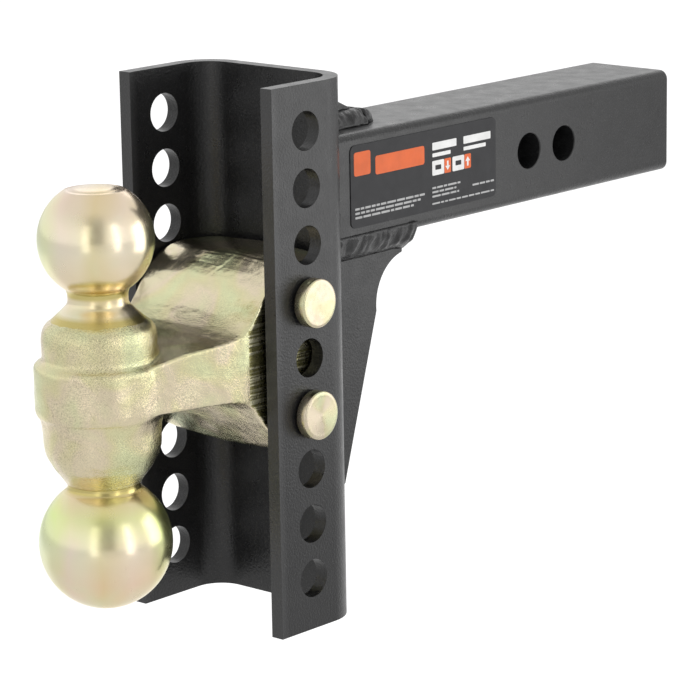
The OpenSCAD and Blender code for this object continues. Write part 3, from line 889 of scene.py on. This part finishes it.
def area_light(name, towards, distance, size, power, aim=(0.0, -0.2, -0.06)):
    """A soft box in direction towards from aim, facing it."""
    data = bpy.data.lights.new(name, "AREA")
    data.shape, (data.size, data.size_y), data.energy = "RECTANGLE", size, power
    obj = bpy.data.objects.new(name, data)
    direction = Vector(towards).normalized()
    obj.location = Vector(aim) + direction * distance
    obj.rotation_mode = "QUATERNION"
    obj.rotation_quaternion = direction.to_track_quat("Z", "Y")
    obj.visible_camera = False
    bpy.context.scene.collection.objects.link(obj)


def around(degrees, elevation):
    """A direction degrees to the right of the camera's side of the object."""
    a = math.radians(41.1 + degrees)
    e = math.radians(elevation)
    return (math.sin(a) * math.cos(e), -math.cos(a) * math.cos(e), math.sin(e))


FLOOR_Z = -0.45


def studio():
    p = Paint("pale_floor", Roughness=0.9)
    tone = p.ramp(p.noise(400, 2.0, 0.5), (0.3, 0.86), (0.7, 0.88))
    # The floor glows only behind the part, where it is the backdrop
    behind = Vector(around(180, 0))
    beside = Vector(around(90, 0))

    def measured(direction):
        x_part = p.maths("MULTIPLY", p.axis("X"), direction.x)
        return p.maths("ADD", x_part, p.maths("MULTIPLY", p.axis("Y"), direction.y))

    far = p.ramp(p.maths("ADD", p.maths("MULTIPLY", measured(behind), 0.5), 0.5), (0.50, 0.0), (0.64, 1.0))
    off_axis = p.maths("ABSOLUTE", p.maths("MULTIPLY", measured(beside), 0.5))
    near_axis = p.ramp(off_axis, (0.40, 1.0), (0.80, 0.0))
    glow = p.maths("MULTIPLY", p.maths("MULTIPLY", far, near_axis), 0.34)
    p.set(Base_Color=tone, Emission_Color=(1, 1, 1, 1), Emission_Strength=glow)
    mesh = bpy.data.meshes.new("floor")
    size = 20.0
    corners = [(-size, -size, FLOOR_Z), (size, -size, FLOOR_Z), (size, size, FLOOR_Z), (-size, size, FLOOR_Z)]
    mesh.from_pydata(corners, [], [(0, 1, 2, 3)])
    floor = bpy.data.objects.new("floor", mesh)
    floor.data.materials.append(p.material)
    bpy.context.scene.collection.objects.link(floor)

    world = bpy.data.worlds.new("studio")
    bpy.context.scene.world = world
    world.use_nodes = True
    tree = world.node_tree
    where = tree.nodes.new("ShaderNodeTexCoord").outputs["Generated"]

    def along(direction):
        dot = tree.nodes.new("ShaderNodeVectorMath")
        dot.operation = "DOT_PRODUCT"
        dot.inputs[1].default_value = Vector(direction)
        tree.links.new(where, dot.inputs[0])
        return dot.outputs["Value"]

    def ramp(fac, *stops):
        made = tree.nodes.new("ShaderNodeValToRGB")
        while len(made.color_ramp.elements) < len(stops):
            made.color_ramp.elements.new(0.5)
        for element, (position, value) in zip(made.color_ramp.elements, stops):
            element.position, element.color = position, (value, value, value, 1)
        tree.links.new(fac, made.inputs["Fac"])
        return made.outputs["Color"]

    def combine(operation, a, b):
        made = tree.nodes.new("ShaderNodeMath")
        made.operation = operation
        for socket, value in zip(made.inputs, (a, b)):
            if isinstance(value, bpy.types.NodeSocket):
                tree.links.new(value, socket)
            else:
                socket.default_value = value
        return made.outputs["Value"]

    # A dim upright gap on the camera's side between two white walls, and a dimmer ceiling
    sideways = combine("ABSOLUTE", along(around(95, 0)), 0.0)
    facing = ramp(along(around(5, 0)), (0.45, 0.0), (0.85, 1.0))
    gap = combine("MULTIPLY", ramp(sideways, (0.20, 1.0), (0.36, 0.0)), facing)
    wall = combine("SUBTRACT", 1.0, combine("MULTIPLY", gap, 0.57))
    level = combine("MULTIPLY", wall, ramp(along((0, 0, 1)), (0.35, 1.0), (0.75, 0.84)))
    sky = tree.nodes["Background"]
    sky.inputs["Color"].default_value = (1.0, 1.0, 1.0, 1.0)
    tree.links.new(level, sky.inputs["Strength"])

    area_light("strip_left", around(-16, 12), 1.6, (0.38, 1.4), 1.2)
    area_light("strip_right", around(43, 12), 1.6, (0.28, 1.4), 1.9)
    area_light("rear_box", (-0.48, 0.76, 0.44), 2.2, (1.5, 0.7), 1.8)
    area_light("near_right_box", (0.66, 0.74, 0.0), 0.50, (0.30, 0.40), 0.55, (0.046, -0.21, 0.0))

    bpy.context.scene.view_settings.view_transform = "Standard"


camera()
studio()
channel()
shank()
lower_gusset("right_gusset", 1)
lower_gusset("left_gusset", -1)
top_gusset()
welds()
upper_ball()
lower_ball()
forged_body()
pin("upper_pin", BORE_Z)
pin("lower_pin", -BORE_Z)
clip("upper_clip", BORE_Z)
clip("lower_clip", -BORE_Z)
label()
